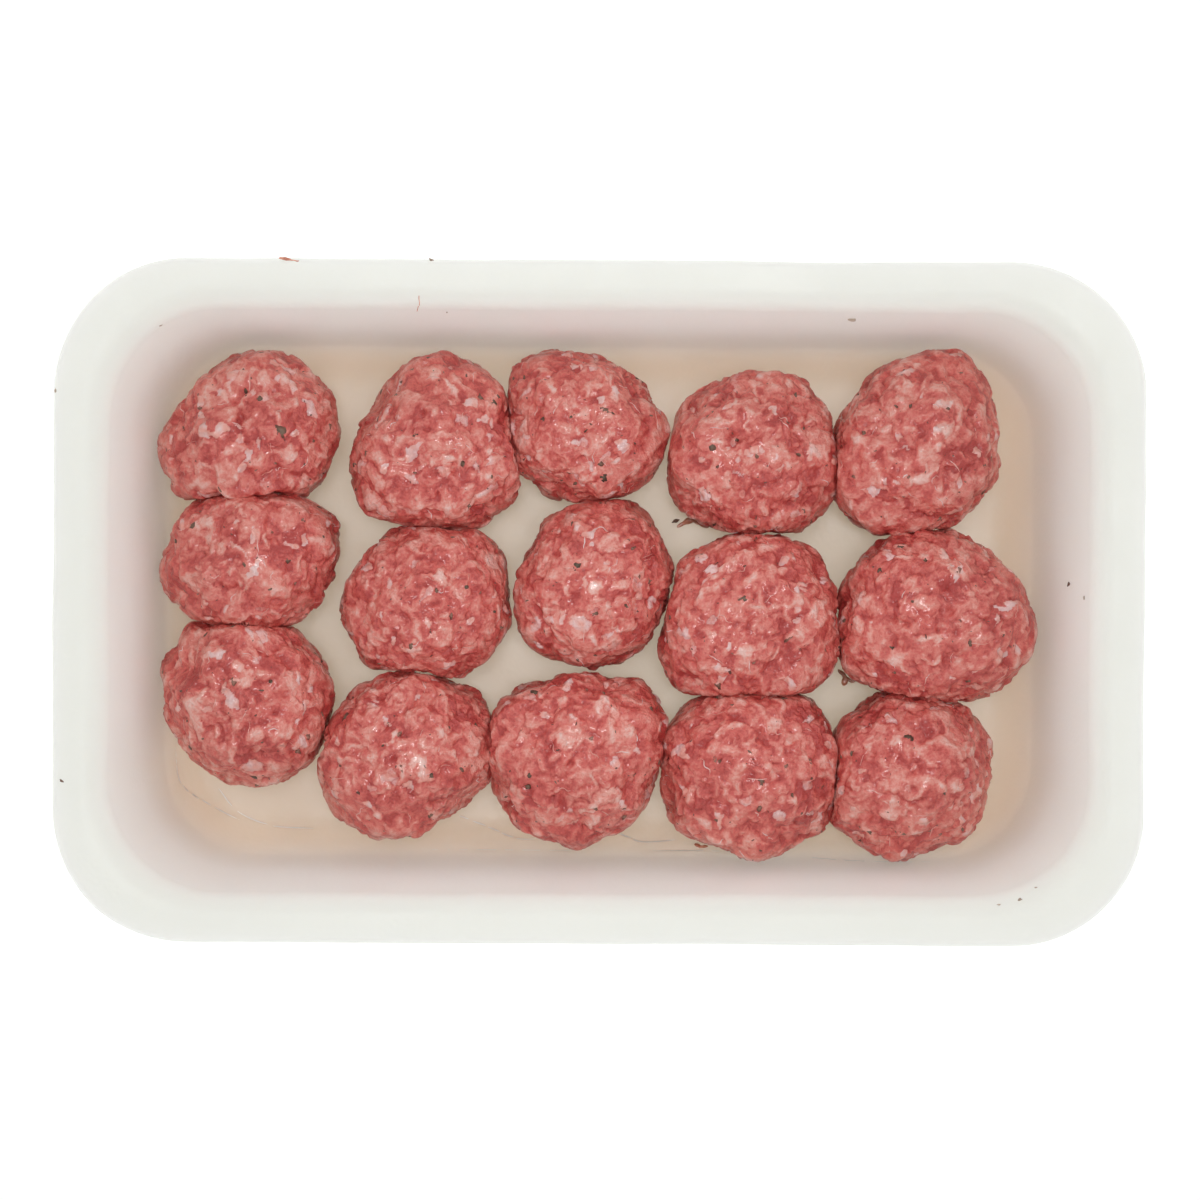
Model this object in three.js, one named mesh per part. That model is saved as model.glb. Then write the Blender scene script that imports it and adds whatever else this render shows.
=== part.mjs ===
// A retail meat tray pack: an open white foam tray that holds fifteen raw meatballs in three rows of five.
// Units are millimetres. The origin is the middle of the tray's underside. +X runs along the long side, and
// +Z is up.
import * as THREE from "three";

// Driving dimensions of the tray
const TRAY_LENGTH = 230;
const TRAY_WIDTH = 144;
const TRAY_HEIGHT = 50;
const CORNER_RADIUS = 28;
const MOUTH_LENGTH = 209;
const MOUTH_WIDTH = 124.4;
const MOUTH_RADIUS = 24;
const FLOOR_LENGTH = 190.4;
const FLOOR_WIDTH = 111.6;
const FLOOR_RADIUS = 21;
const FLOOR_THICKNESS = 4;
const WALL_THICKNESS = 3.6;
const FLANGE_THICKNESS = 3.4;

// Rounding of the tray's section, from the floor to the flange and down the outside
const FLOOR_FILLET = 8;
const MOUTH_ROUNDING = 2.6;
const EDGE_ROUNDING = 1.4;
const UNDER_FLANGE_FILLET = 3;
const BASE_ROUNDING = 9;

// How finely the tray is faceted
const CORNER_STEPS = 9;
const ARC_STEPS = 3;

// How a meatball stands: its height half-axis as a share of its outline radius, and how deep it has settled
const HEIGHT_SHARE = 0.9;
const STANDING_SHARE = 0.92;

// How meatballs meet: the gap between them, how softly a contact's edge is rounded, and how far apart the
// middles of neighbours can be. Between a firm meatball and a soft one, the contact bows into the soft one and
// moves towards its middle.
const GAP = 0.3;
const EDGE_SOFTNESS = 0.5;
const REACH = 60;
const CONTACT_BOW = 0.045;
const CONTACT_SHIFT = 2.0;

// Lumps of the minced meat: each layer is a sum of plane waves of one length
const WAVES = 18;
const GOLDEN_ANGLE = Math.PI * (3 - Math.sqrt(5));
const PHASE_STEP = 2.399;
const LUMPS = [
  { length: 15, height: 0.42 },
  { length: 8.5, height: 0.26 },
];
const BALL_DETAIL = 5;

// The meatballs, row by row from the back left, measured on the photograph to half a millimetre. x and y
// place the middle, and radius is the outline's mean. oval and pear are how far the outline bulges to two and
// to three sides, and ovalTurn and pearTurn turn the first of those sides away from +X, in degrees. firm says
// how little the meatball gives way to its neighbours.
const MEATBALLS = [
  { x: -76.5, y: 36.0, radius: 19.0, oval: 1.5, ovalTurn: 45, pear: 0.5, pearTurn: -30, firm: 0.0 },
  { x: -35.5, y: 33.5, radius: 19.5, oval: 0.5, ovalTurn: 60, pear: 1.0, pearTurn: -30, firm: 0.6 },
  { x: -4.0, y: 38.5, radius: 17.5, oval: 1.5, ovalTurn: -30, pear: 0.5, pearTurn: 0, firm: 1.0 },
  { x: 34.0, y: 32.5, radius: 19.0, oval: 0.5, ovalTurn: 15, pear: 0.5, pearTurn: -45, firm: 0.6 },
  { x: 69.0, y: 34.0, radius: 20.0, oval: 2.0, ovalTurn: 60, pear: 0.5, pearTurn: -45, firm: 0.3 },
  { x: -76.5, y: 10.0, radius: 19.0, oval: 1.5, ovalTurn: 45, pear: 0.0, pearTurn: 0, firm: 0.9 },
  { x: -37.5, y: 0.0, radius: 18.5, oval: 1.0, ovalTurn: 30, pear: 0.5, pearTurn: -45, firm: 0.2 },
  { x: -1.0, y: 4.0, radius: 18.5, oval: 1.0, ovalTurn: 60, pear: 0.5, pearTurn: -30, firm: 0.7 },
  { x: 33.0, y: -4.0, radius: 20.5, oval: 0.5, ovalTurn: 15, pear: 0.5, pearTurn: -30, firm: 0.4 },
  { x: 73.0, y: -3.5, radius: 21.0, oval: 1.0, ovalTurn: 0, pear: 1.0, pearTurn: -15, firm: 0.8 },
  { x: -77.0, y: -21.5, radius: 19.0, oval: 1.0, ovalTurn: -60, pear: 0.0, pearTurn: 0, firm: 0.2 },
  { x: -42.0, y: -33.5, radius: 19.0, oval: 1.5, ovalTurn: 30, pear: 0.5, pearTurn: 0, firm: 0.7 },
  { x: -5.0, y: -33.5, radius: 20.0, oval: 1.0, ovalTurn: 15, pear: 1.0, pearTurn: 30, firm: 0.3 },
  { x: 33.5, y: -36.0, radius: 20.0, oval: 0.5, ovalTurn: 0, pear: 0.0, pearTurn: 0, firm: 0.8 },
  { x: 68.0, y: -37.0, radius: 19.0, oval: 1.0, ovalTurn: 45, pear: 0.5, pearTurn: -30, firm: 0.4 },
];

// Dents that rolling left in the meatballs, by number. turn is the way round from +X and rise the way up from
// level, in degrees. depth is in millimetres, and width is how far off, in degrees, the dent fades out.
const DENTS = [
  { ball: 1, turn: 80, rise: 0, depth: 0.9, width: 24 },
  { ball: 1, turn: 140, rise: 0, depth: 1.0, width: 20 },
  { ball: 2, turn: 148, rise: 15, depth: 2.2, width: 19 },
  { ball: 3, turn: -60, rise: 50, depth: 0.9, width: 16 },
  { ball: 4, turn: 92, rise: 35, depth: 2.2, width: 15 },
  { ball: 5, turn: -98, rise: 45, depth: 1.8, width: 15 },
  { ball: 6, turn: 169, rise: 58, depth: 1.3, width: 14 },
  { ball: 7, turn: 186, rise: 40, depth: 1.4, width: 14 },
  { ball: 8, turn: 147, rise: 8, depth: 1.5, width: 13 },
  { ball: 9, turn: -52, rise: 55, depth: 1.4, width: 15 },
  { ball: 11, turn: 150, rise: 28, depth: 2.2, width: 15 },
  { ball: 12, turn: -40, rise: 8, depth: 1.2, width: 17 },
  { ball: 13, turn: 123, rise: 5, depth: 1.6, width: 18 },
  { ball: 13, turn: -85, rise: 50, depth: 1.2, width: 14 },
  { ball: 15, turn: 12, rise: 20, depth: 1.3, width: 15 },
];

// Looks, from the photograph
const FOAM = { color: 0xe8e9e1, roughness: 0.55, metalness: 0 };
const MEAT = { color: 0xc06d65, roughness: 0.35, metalness: 0 };

// The tray's plan at three distances out from the foot of the wall. Between them the plan is blended, and
// inside the first one it is a plain inward offset.
const WALL_RUN = ((MOUTH_LENGTH - FLOOR_LENGTH) + (MOUTH_WIDTH - FLOOR_WIDTH)) / 4;
const FLANGE_RUN = ((TRAY_LENGTH - MOUTH_LENGTH) + (TRAY_WIDTH - MOUTH_WIDTH)) / 4;
const STATIONS = [
  { out: 0, length: FLOOR_LENGTH, width: FLOOR_WIDTH, radius: FLOOR_RADIUS },
  { out: WALL_RUN, length: MOUTH_LENGTH, width: MOUTH_WIDTH, radius: MOUTH_RADIUS },
  { out: WALL_RUN + FLANGE_RUN, length: TRAY_LENGTH, width: TRAY_WIDTH, radius: CORNER_RADIUS },
];

// The rounded rectangle that the tray's plan is at a distance out from the foot of the wall.
function planAt(out) {
  const [foot, mouth, edge] = STATIONS;
  if (out <= foot.out) {
    return {
      length: foot.length + 2 * out,
      width: foot.width + 2 * out,
      radius: foot.radius + out,
    };
  }
  const [inner, outer] = out < mouth.out ? [foot, mouth] : [mouth, edge];
  const share = (out - inner.out) / (outer.out - inner.out);
  return {
    length: THREE.MathUtils.lerp(inner.length, outer.length, share),
    width: THREE.MathUtils.lerp(inner.width, outer.width, share),
    radius: THREE.MathUtils.lerp(inner.radius, outer.radius, share),
  };
}

// The points of a plan, counter-clockwise, with CORNER_STEPS steps round each corner.
function planPoints({ length, width, radius }) {
  const points = [];
  const corners = [[1, 1], [-1, 1], [-1, -1], [1, -1]];
  corners.forEach(([signX, signY], quarter) => {
    const centreX = signX * (length / 2 - radius);
    const centreY = signY * (width / 2 - radius);
    for (let step = 0; step <= CORNER_STEPS; step++) {
      const angle = (quarter + step / CORNER_STEPS) * Math.PI / 2;
      points.push([centreX + radius * Math.cos(angle), centreY + radius * Math.sin(angle)]);
    }
  });
  return points;
}

// The points of an arc that rounds the corner at `corner` between the lines to `before` and `after`.
function roundedCorner(before, corner, after, radius) {
  const towardsBefore = before.clone().sub(corner).normalize();
  const towardsAfter = after.clone().sub(corner).normalize();
  const halfAngle = Math.acos(towardsBefore.dot(towardsAfter)) / 2;
  const middle = towardsBefore.clone().add(towardsAfter).normalize();
  const centre = corner.clone().addScaledVector(middle, radius / Math.sin(halfAngle));
  const tangent = radius / Math.tan(halfAngle);
  const from = corner.clone().addScaledVector(towardsBefore, tangent).sub(centre);
  const to = corner.clone().addScaledVector(towardsAfter, tangent).sub(centre);
  const sweep = Math.atan2(from.x * to.y - from.y * to.x, from.dot(to));
  const steps = Math.max(ARC_STEPS, Math.round(Math.sqrt(radius) * ARC_STEPS / 2));
  return Array.from({ length: steps + 1 }, (_, step) =>
    from.clone().rotateAround(new THREE.Vector2(), sweep * step / steps).add(centre));
}

// The tray's section, from the middle of the floor out over the flange and back under the base, as points
// of distance out from the foot of the wall and height.
function traySection() {
  const lean = WALL_RUN / (TRAY_HEIGHT - FLOOR_THICKNESS);
  const outerWall = (height) => (height - FLOOR_THICKNESS) * lean + WALL_THICKNESS * Math.hypot(1, lean);
  const edgeOut = WALL_RUN + FLANGE_RUN;
  const underFlange = TRAY_HEIGHT - FLANGE_THICKNESS;
  const inward = -FLOOR_RADIUS / 2;
  const corners = [
    [inward, FLOOR_THICKNESS, 0],
    [0, FLOOR_THICKNESS, FLOOR_FILLET],
    [WALL_RUN, TRAY_HEIGHT, MOUTH_ROUNDING],
    [edgeOut, TRAY_HEIGHT, EDGE_ROUNDING],
    [edgeOut, underFlange, EDGE_ROUNDING],
    [outerWall(underFlange), underFlange, UNDER_FLANGE_FILLET],
    [outerWall(0), 0, BASE_ROUNDING],
    [inward, 0, 0],
  ];
  const points = corners.map(([out, height]) => new THREE.Vector2(out, height));
  return corners.flatMap(([, , radius], place) => radius
    ? roundedCorner(points[place - 1], points[place], points[place + 1], radius)
    : [points[place]]);
}

// The tray: its section carried round the plan, closed by a flat floor inside and a flat base below.
function trayGeometry() {
  const rings = traySection().map(({ x: out, y: height }) =>
    planPoints(planAt(out)).map(([x, y]) => [x, y, height]));
  const around = rings[0].length;
  const positions = rings.flat(2);
  const index = [];
  for (let ring = 0; ring + 1 < rings.length; ring++) {
    for (let side = 0; side < around; side++) {
      const a = ring * around + side;
      const b = ring * around + (side + 1) % around;
      index.push(a, a + around, b, b, a + around, b + around);
    }
  }
  const floorMiddle = positions.length / 3;
  positions.push(0, 0, FLOOR_THICKNESS, 0, 0, 0);
  const lastRing = (rings.length - 1) * around;
  for (let side = 0; side < around; side++) {
    const next = (side + 1) % around;
    index.push(floorMiddle, side, next);
    index.push(floorMiddle + 1, lastRing + next, lastRing + side);
  }
  const geometry = new THREE.BufferGeometry();
  geometry.setAttribute("position", new THREE.Float32BufferAttribute(positions, 3));
  geometry.setIndex(index);
  geometry.computeVertexNormals();
  return geometry;
}

// The radius of a meatball's outline, seen from above, at an angle from +X.
function outlineRadius({ radius, oval, ovalTurn, pear, pearTurn }, angle) {
  const bulge = (height, sides, turn) =>
    height * Math.cos(sides * (angle - THREE.MathUtils.degToRad(turn)));
  return radius + bulge(oval, 2, ovalTurn) + bulge(pear, 3, pearTurn);
}

const halfHeight = (ball) => ball.radius * HEIGHT_SHARE;
const middleHeight = (ball) => FLOOR_THICKNESS + halfHeight(ball) * STANDING_SHARE;

// Lump height of the meat at a direction from the middle of meatball `number`.
function lumpHeight(direction, radius, number) {
  let total = 0;
  LUMPS.forEach(({ length, height }, layer) => {
    let sum = 0;
    for (let wave = 0; wave < WAVES; wave++) {
      const rise = 1 - (2 * wave + 1) / WAVES;
      const flat = Math.sqrt(1 - rise * rise);
      const turn = wave * GOLDEN_ANGLE + layer;
      const along = direction.x * flat * Math.cos(turn)
        + direction.y * flat * Math.sin(turn) + direction.z * rise;
      sum += Math.cos(2 * Math.PI * radius * along / length + PHASE_STEP * (number + 1) * (wave + 1));
    }
    total += height * sum * Math.sqrt(2 / WAVES);
  });
  return total;
}

// What a meatball is pressed against: the floor, and each neighbour where their outlines would share the way.
// Each contact is a direction, a distance from the middle, and the bow of a bowl that opens back towards the
// middle. A negative bow is the neighbour's own bulge.
function contacts(ball, balls) {
  const floor = {
    direction: new THREE.Vector3(0, 0, -1),
    distance: middleHeight(ball) - FLOOR_THICKNESS - GAP,
    bow: 0,
  };
  const between = balls
    .filter((other) => other !== ball && Math.hypot(other.x - ball.x, other.y - ball.y) < REACH)
    .map((other) => {
      const apart = Math.hypot(other.x - ball.x, other.y - ball.y);
      const angle = Math.atan2(other.y - ball.y, other.x - ball.x);
      const mine = outlineRadius(ball, angle);
      const share = mine / (mine + outlineRadius(other, angle + Math.PI));
      const firmer = ball.firm - other.firm;
      return {
        direction: new THREE.Vector3(Math.cos(angle), Math.sin(angle), 0),
        distance: apart * share + CONTACT_SHIFT * firmer - GAP / 2,
        bow: CONTACT_BOW * firmer,
      };
    });
  return [floor, ...between];
}

// How far a ray from the middle runs before it meets a contact, given the cosine of the angle between them.
// On the ray, distance along the contact's direction plus bow / 2 times the squared distance off it reaches
// the contact's distance. Where the bow turns away faster than the ray comes, they never meet.
function contactReach({ distance, bow }, cosine) {
  const square = cosine ** 2 + 2 * bow * distance * (1 - cosine ** 2);
  return cosine > 0 && square > 0 ? 2 * distance / (cosine + Math.sqrt(square)) : Infinity;
}

// How far a meatball's dents set its surface back along a direction.
function dentDepth(dents, direction) {
  return dents.reduce((total, { turn, rise, depth, width }) => {
    const [across, up] = [turn, rise].map(THREE.MathUtils.degToRad);
    const cosine = direction.x * Math.cos(across) * Math.cos(up)
      + direction.y * Math.sin(across) * Math.cos(up) + direction.z * Math.sin(up);
    const off = THREE.MathUtils.radToDeg(Math.acos(Math.min(1, cosine))) / width;
    return total + depth * Math.exp(-(off ** 2));
  }, 0);
}

// The distance from a meatball's middle to its surface along a direction: an ellipsoid with the outline's
// radius, plus the lumps, less the dents, and eased under every contact that presses on it.
function surfaceDistance(ball, number, pressing, dents, direction) {
  const outline = outlineRadius(ball, Math.atan2(direction.y, direction.x));
  const level = direction.x ** 2 + direction.y ** 2;
  const free = 1 / Math.sqrt(level / outline ** 2 + direction.z ** 2 / halfHeight(ball) ** 2);
  const shaped = free + lumpHeight(direction, ball.radius, number) - dentDepth(dents, direction);
  const distances = [shaped, ...pressing.map((contact) =>
    contactReach(contact, direction.dot(contact.direction)))];
  const nearest = Math.min(...distances);
  const sum = distances.reduce((total, d) => total + Math.exp((nearest - d) / EDGE_SOFTNESS), 0);
  return nearest - EDGE_SOFTNESS * Math.log(sum);
}

// One meatball: a finely divided icosahedron whose corners are moved out to the surface.
function meatballGeometry(ball, number, balls) {
  const geometry = new THREE.IcosahedronGeometry(1, BALL_DETAIL);
  const pressing = contacts(ball, balls);
  const dents = DENTS.filter((dent) => dent.ball === number + 1);
  const position = geometry.getAttribute("position");
  const direction = new THREE.Vector3();
  for (let corner = 0; corner < position.count; corner++) {
    direction.fromBufferAttribute(position, corner).normalize();
    direction.multiplyScalar(surfaceDistance(ball, number, pressing, dents, direction));
    position.setXYZ(corner, direction.x, direction.y, direction.z);
  }
  geometry.computeVertexNormals();
  return geometry;
}

function namedMesh(name, geometry, look) {
  const mesh = new THREE.Mesh(geometry, new THREE.MeshStandardMaterial(look));
  mesh.name = name;
  return mesh;
}

const pack = new THREE.Group();
pack.add(namedMesh("tray", trayGeometry(), FOAM));

const meatballs = new THREE.Group();
MEATBALLS.forEach((ball, number) => {
  const name = `meatball_${String(number + 1).padStart(2, "0")}`;
  const mesh = namedMesh(name, meatballGeometry(ball, number, MEATBALLS), MEAT);
  mesh.position.set(ball.x, ball.y, middleHeight(ball));
  meatballs.add(mesh);
});
pack.add(meatballs);

export default pack;
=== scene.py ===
# %% [markdown]
# # An open foam tray of raw meatballs
# The pack is a white foam tray with fifteen raw meatballs in three rows of five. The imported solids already
# have the true places and sizes. This lesson makes what they leave out: a smooth tray with a thin film on
# it, the pressed strands of the mince, its fat, herbs and sinew, and a few crumbs. Every shape is worked
# out with numpy as whole arrays, so each function says its formula in words.

# %% Load the frame
import math

import bpy
import numpy as np
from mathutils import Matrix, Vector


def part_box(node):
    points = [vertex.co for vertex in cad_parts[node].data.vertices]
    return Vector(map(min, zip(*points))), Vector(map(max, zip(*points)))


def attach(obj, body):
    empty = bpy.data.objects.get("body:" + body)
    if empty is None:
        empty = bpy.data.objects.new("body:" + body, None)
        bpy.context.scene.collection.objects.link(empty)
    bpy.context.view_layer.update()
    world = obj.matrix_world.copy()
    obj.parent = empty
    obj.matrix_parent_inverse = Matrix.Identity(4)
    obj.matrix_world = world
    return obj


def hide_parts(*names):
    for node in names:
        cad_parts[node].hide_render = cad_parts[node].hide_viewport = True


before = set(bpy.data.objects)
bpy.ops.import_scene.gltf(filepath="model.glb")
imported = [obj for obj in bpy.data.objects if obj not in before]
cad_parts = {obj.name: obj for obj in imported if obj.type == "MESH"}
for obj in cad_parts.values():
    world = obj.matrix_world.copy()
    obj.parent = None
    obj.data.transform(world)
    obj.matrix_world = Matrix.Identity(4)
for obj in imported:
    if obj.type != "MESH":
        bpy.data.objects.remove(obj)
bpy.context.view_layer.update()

MM = 0.001

# %% [markdown]
# ## Making a piece from arrays
# A mesh is a list of points and a list of faces that name the points by number. Blender's editing tools
# could build it corner by corner, but a grid of many thousand points is far quicker as one array. Each
# piece rides on the pack's only body and takes its finish as its material.

# %% A helper for pieces
BODY = "root"


def make_piece(name, points, faces, material):
    """One smooth-shaded mesh object from an array of points and a list of faces, riding on the pack."""
    mesh = bpy.data.meshes.new(name)
    mesh.from_pydata(np.asarray(points).tolist(), [], faces)
    mesh.polygons.foreach_set("use_smooth", np.ones(len(mesh.polygons), dtype=bool))
    mesh.materials.append(material)
    mesh.update()
    piece = bpy.data.objects.new(name, mesh)
    bpy.context.collection.objects.link(piece)
    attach(piece, BODY)
    print(f"{name}: {len(mesh.vertices)} points, {len(mesh.polygons)} faces")
    return piece


def give_attribute(piece, name, values):
    """Stores three numbers for each point of the piece, for its material to read."""
    attribute = piece.data.attributes.new(name, "FLOAT_VECTOR", "POINT")
    attribute.data.foreach_set("vector", np.asarray(values, dtype=np.float32).ravel())


def unit(vectors):
    """The same directions with length 1."""
    return vectors / np.linalg.norm(vectors, axis=-1, keepdims=True)


def ripple(points, length, seed, waves=28):
    """A smooth random height at each point, about 1 high: plane waves of one length in random directions,
    added up, over the square root of half their number."""
    rng = np.random.default_rng(seed)
    toward = unit(rng.normal(size=(waves, 3)))
    phase = rng.uniform(0, 2 * math.pi, waves)
    return np.cos(points @ toward.T * (2 * math.pi / length) + phase).sum(1) / math.sqrt(waves / 2)


# %% [markdown]
# ## Making a material from nodes
# A finish is a small network: coordinates feed a pattern, the pattern feeds a colour and a bump, and both
# feed the Principled shader. Wiring it by hand repeats the same steps, so a small workbench object offers
# them as short calls. Colours are written as a screen shows them, and turned into the linear values that
# light adds up in.

# %% A workbench for node materials
def linear(red, green, blue):
    """A screen colour, 0 to 255 in each channel, as the linear colour that shaders use."""
    screen = np.array([red, green, blue]) / 255
    light = np.where(screen <= 0.04045, screen / 12.92, ((screen + 0.055) / 1.055) ** 2.4)
    return (*light.tolist(), 1.0)


class Finish:
    """A new material, with short calls that add nodes and wire them."""

    def __init__(self, name):
        self.material = bpy.data.materials.new(name)
        self.material.use_nodes = True
        self.tree = self.material.node_tree
        self.shader = self.tree.nodes["Principled BSDF"]

    def node(self, kind, inputs=(), **settings):
        """Adds a node, sets its options, and fills its inputs with numbers or with other nodes' outputs."""
        made = self.tree.nodes.new(kind)
        for option, value in settings.items():
            setattr(made, option, value)
        for socket, value in dict(inputs).items():
            self.feed(made.inputs[socket], value)
        return made

    def feed(self, socket, value):
        """Links an output to the socket, or sets the socket to a constant."""
        if isinstance(value, bpy.types.NodeSocket):
            self.tree.links.new(value, socket)
        else:
            socket.default_value = value

    def place(self):
        """The point's place in the object's own metres."""
        return self.node("ShaderNodeTexCoord").outputs["Object"]

    def attribute(self, name):
        """The three numbers that a piece's points carry under this name, together and one by one."""
        together = self.node("ShaderNodeAttribute", attribute_name=name).outputs["Vector"]
        return together, self.node("ShaderNodeSeparateXYZ", {0: together}).outputs

    def noise(self, where, size, detail, roughness=0.5):
        """Cloudy pattern whose blots are about `size` metres across, from 0 to 1."""
        inputs = {"Vector": where, "Scale": 1 / size, "Detail": detail, "Roughness": roughness}
        return self.node("ShaderNodeTexNoise", inputs).outputs["Fac"]

    def ramp(self, value, stops):
        """A colour for each value: the stops are (value, screen colour), blended between."""
        made = self.node("ShaderNodeValToRGB", {"Fac": value})
        elements = made.color_ramp.elements
        while len(elements) < len(stops):
            elements.new(0.5)
        for element, (position, colour) in zip(elements, stops):
            element.position = position
            element.color = linear(*colour)
        return made.outputs["Color"]

    def span(self, value, low, high, to_low=0.0, to_high=1.0):
        """The value's stretch from low to high, spread over another stretch and clamped to it."""
        inputs = {"Value": value, "From Min": low, "From Max": high, "To Min": to_low, "To Max": to_high}
        return self.node("ShaderNodeMapRange", inputs).outputs["Result"]

    def math(self, operation, first, second):
        """Two values added, multiplied and so on."""
        return self.node("ShaderNodeMath", {0: first, 1: second}, operation=operation).outputs[0]

    def blend(self, factor, first, second):
        """The first colour turned into the second by the factor."""
        return self.node("ShaderNodeMix", {0: factor, 6: first, 7: second}, data_type="RGBA").outputs[2]

    def bump(self, height, distance):
        """Normals tilted as if the height, times the distance, stood on the surface."""
        inputs = {"Height": height, "Distance": distance, "Strength": 1.0}
        return self.node("ShaderNodeBump", inputs).outputs["Normal"]

    def surface(self, **values):
        """Fills the Principled shader's sockets; an underscore stands for a space."""
        for name, value in values.items():
            self.feed(self.shader.inputs[name.replace("_", " ")], value)
        return self.material


def drifting(name, size, detail, stops, **values):
    """A material whose colour drifts between the stops with a cloudy noise of that size."""
    made = Finish(name)
    return made.surface(Base_Color=made.ramp(made.noise(made.place(), size, detail), stops), **values)


# %% [markdown]
# ## The camera
# The photograph looks straight down. The tray's outline is 1096 pixels long in a picture 1200 wide, so at
# the rim the picture is 252 mm wide. A lens 600 mm above the rim sees the walls slope in as much as they do
# there. A constraint could aim the camera, but its place, its small roll and its lens are enough here.

# %% Camera over the tray
tray_low, tray_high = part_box("tray")
TRAY_LENGTH = tray_high.x - tray_low.x
TRAY_WIDTH = tray_high.y - tray_low.y
TRAY_HEIGHT = tray_high.z

PICTURE_PIXELS = 1200
TRAY_PIXELS = 1096
TRAY_MIDDLE_PIXEL = (599, 602)
LENS_ABOVE_RIM = 0.6
CAMERA_ROLL = math.radians(0.33)

pixel = TRAY_LENGTH / TRAY_PIXELS
camera_data = bpy.data.cameras.new("camera")
camera_data.sensor_width = 36.0
camera_data.lens = camera_data.sensor_width * LENS_ABOVE_RIM / (PICTURE_PIXELS * pixel)
camera = bpy.data.objects.new("camera", camera_data)
camera.location = ((PICTURE_PIXELS / 2 - TRAY_MIDDLE_PIXEL[0]) * pixel,
                   (TRAY_MIDDLE_PIXEL[1] - PICTURE_PIXELS / 2) * pixel, TRAY_HEIGHT + LENS_ABOVE_RIM)
camera.rotation_euler = (0, 0, CAMERA_ROLL)
bpy.context.collection.objects.link(camera)
bpy.context.scene.camera = camera
print(f"lens {camera_data.lens:.1f} mm, one pixel at the rim is {pixel / MM:.3f} mm")

# %% [markdown]
# ## The floor and the light
# The photograph shows the pack on pure white, in light without hard shadows, and the walls are almost as
# light as the flange. So the sky is bright low down and dim overhead, and the floor glows, so that light
# also comes through the foam. Farther away it glows more, to look white from the side too. One even sky
# would be simpler, but it leaves wet things dull and the meat dark. Small lamps put the glints on the meat,
# and one with a narrow oval beam lays a soft pool of light over the meatballs. The colours are shown
# without a film-like curve, so that the white stays white.

# %% Floor, sky and lamps
FLOOR_SIZE = 12.0
FLOOR_DROP = 0.0002

# How strongly the floor glows: a distance from its middle in metres, and the glow there.
GLOW_NEAR = (0.25, 0.35)
GLOW_FAR = (1.3, 0.66)

# The sky's grey at heights from the horizon, 0, to overhead, 1.
SKY_BY_HEIGHT = [(0.0, 1.0), (0.3, 0.95), (0.55, 0.40), (0.8, 0.08)]
SKY_STRENGTH = 1.15

# Each lamp's name, its size in metres, its power in watts and its place. All face the tray.
LAMPS = [
    ("overhead", 0.26, 3.4, (-0.06, 0.10, 1.4)),
    ("overhead_right", 0.12, 1.6, (0.22, -0.06, 1.35)),
    ("back_left", 0.08, 0.7, (-0.55, 0.45, 1.0)),
    ("back_right", 0.08, 0.6, (0.50, 0.40, 1.0)),
    ("front", 0.08, 0.5, (0.10, -0.60, 1.0)),
]
POOL_HEIGHT = 1.35
POOL_LENGTH = 0.24
POOL_WIDTH = 0.145
POOL_POWER = 15.0
POOL_LAMP_RADIUS = 0.10
POOL_SOFT_EDGE = 0.8

floor_finish = Finish("white_floor")
from_middle = floor_finish.node("ShaderNodeVectorMath", {0: floor_finish.place()}, operation="LENGTH")
glow = floor_finish.span(from_middle.outputs["Value"], GLOW_NEAR[0], GLOW_FAR[0], GLOW_NEAR[1],
                         GLOW_FAR[1])
floor_finish.surface(Base_Color=linear(250, 250, 250), Roughness=0.9,
                     Emission_Color=(1.0, 1.0, 1.0, 1.0), Emission_Strength=glow)
corner = FLOOR_SIZE / 2
floor_mesh = bpy.data.meshes.new("floor")
floor_mesh.from_pydata([(x * corner, y * corner, -FLOOR_DROP)
                        for x, y in [(-1, -1), (1, -1), (1, 1), (-1, 1)]], [], [(0, 1, 2, 3)])
floor_mesh.materials.append(floor_finish.material)
floor = bpy.data.objects.new("floor", floor_mesh)
bpy.context.collection.objects.link(floor)

scene = bpy.context.scene
scene.view_settings.view_transform = "Standard"
sky = bpy.data.worlds.new("sky")
sky.use_nodes = True
sky_tree = sky.node_tree
sky_ramp = sky_tree.nodes.new("ShaderNodeValToRGB")
sky_split = sky_tree.nodes.new("ShaderNodeSeparateXYZ")
sky_toward = sky_tree.nodes.new("ShaderNodeTexCoord")
sky_tree.links.new(sky_toward.outputs["Generated"], sky_split.inputs[0])
sky_tree.links.new(sky_split.outputs["Z"], sky_ramp.inputs["Fac"])
sky_tree.links.new(sky_ramp.outputs["Color"], sky_tree.nodes["Background"].inputs["Color"])
while len(sky_ramp.color_ramp.elements) < len(SKY_BY_HEIGHT):
    sky_ramp.color_ramp.elements.new(0.5)
for element, (height, grey) in zip(sky_ramp.color_ramp.elements, SKY_BY_HEIGHT):
    element.position = height
    element.color = (grey, grey, grey, 1.0)
sky_tree.nodes["Background"].inputs["Strength"].default_value = SKY_STRENGTH
scene.world = sky

for name, size, power, place in LAMPS:
    lamp_data = bpy.data.lights.new(name, "AREA")
    lamp_data.size = size
    lamp_data.energy = power
    lamp = bpy.data.objects.new(name, lamp_data)
    lamp.location = place
    lamp.rotation_euler = lamp.location.to_track_quat("Z", "Y").to_euler()
    bpy.context.collection.objects.link(lamp)

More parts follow.
